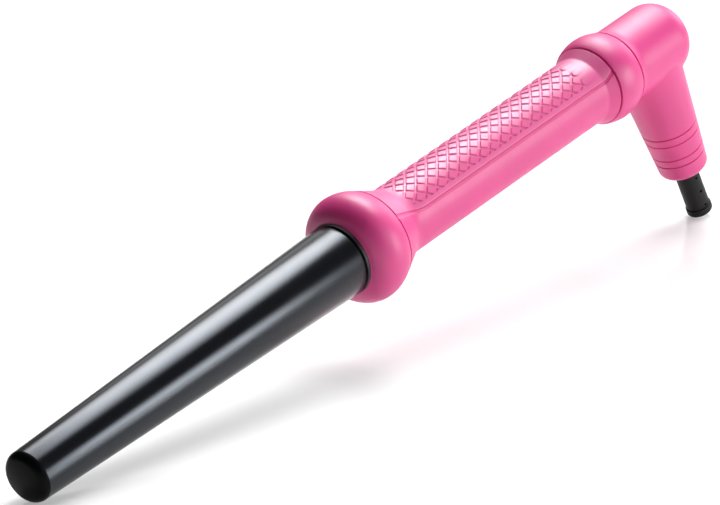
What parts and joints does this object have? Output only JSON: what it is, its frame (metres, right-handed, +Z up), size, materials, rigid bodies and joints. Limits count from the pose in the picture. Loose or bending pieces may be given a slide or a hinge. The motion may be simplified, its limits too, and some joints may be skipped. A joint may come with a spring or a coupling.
{
  "type": "curling wand",
  "caption": "Cone-barrel hair curling wand with a flared guard, diamond-grip handle and an angled elbow that ends in a swivelling cord guard.",
  "frame": {"origin": "centre of the bounding box on the surface that the wand stands on, as it is propped on its tip and its cord guard", "axes": "+X from the barrel tip towards the elbow, level with the surface; +Z up; +Y across the wand, with y = 0 its plane of symmetry"},
  "size_m": [0.3448, 0.0382, 0.0814],
  "materials": {
    "barrel_coat": "glossy ceramic coating on aluminium",
    "black_plastic": "satin heat-resistant plastic",
    "heat_resin": "glass-filled heat-resistant resin",
    "steel": "zinc-plated",
    "mica": "pale mica board",
    "heater_metal": "extruded",
    "ceramic": "fired ceramic plate",
    "film": "amber insulating film",
    "lead_skin": "silicone insulation",
    "pink_plastic": "satin moulded plastic",
    "grip_pink": "satin moulded plastic with a diamond grip",
    "board": "glass-fibre circuit board",
    "component": "moulded capacitor case",
    "component_black": "moulded chip package",
    "connector": "nylon",
    "brass": "bright",
    "rocker_plastic": "satin",
    "window_red": "clear red lens",
    "brush_carbon": "carbon brush",
    "bush_nylon": "natural nylon",
    "guard_black": "soft black elastomer"
  },
  "bodies": {
    "wand": {"barrel": "barrel_coat", "heat_ring": "black_plastic", "barrel_clamp": "heat_resin", "barrel_screws": "steel", "insulator_disc": "mica", "heater_half_upper": "heater_metal", "heater_half_lower": "heater_metal", "ceramic_heater": "ceramic", "heater_films": "film", "thermal_sensor": "heat_resin", "thermal_fuse": "mica", "heater_leads": "lead_skin", "sensor_leads": "lead_skin", "front_guard": "pink_plastic", "lower_shell": "pink_plastic", "grip_panel": "grip_pink", "handle_screws": "steel", "control_board": "board", "board_screws": "steel", "filter_capacitor": "component", "triac": "component_black", "board_connector": "connector", "rear_collar": "pink_plastic", "elbow_housing": "pink_plastic", "switch_lead": "lead_skin", "live_lead": "lead_skin", "neutral_lead": "lead_skin", "switch_body": "black_plastic", "switch_terminals": "brass", "brush_holder": "heat_resin", "brushes": "brush_carbon", "swivel_bush": "bush_nylon"},
    "swivel": {"cord_guard": "guard_black", "swivel_hub": "heat_resin", "slip_rings": "brass"},
    "rocker": {"rocker_button": "rocker_plastic", "rocker_window": "window_red"}
  },
  "joints": [
    {"name": "cord_swivel", "type": "hinge", "parent": "wand", "child": "swivel", "pos_m": [0.15831, 0, 0.02578], "axis": [0.3863, 0, -0.9224], "continuous": true},
    {"name": "rocker_switch", "type": "hinge", "parent": "wand", "child": "rocker", "pos_m": [0.15871, 0, 0.04838], "axis": [0, 1, 0], "range_deg": [0, 16]}
  ]
}
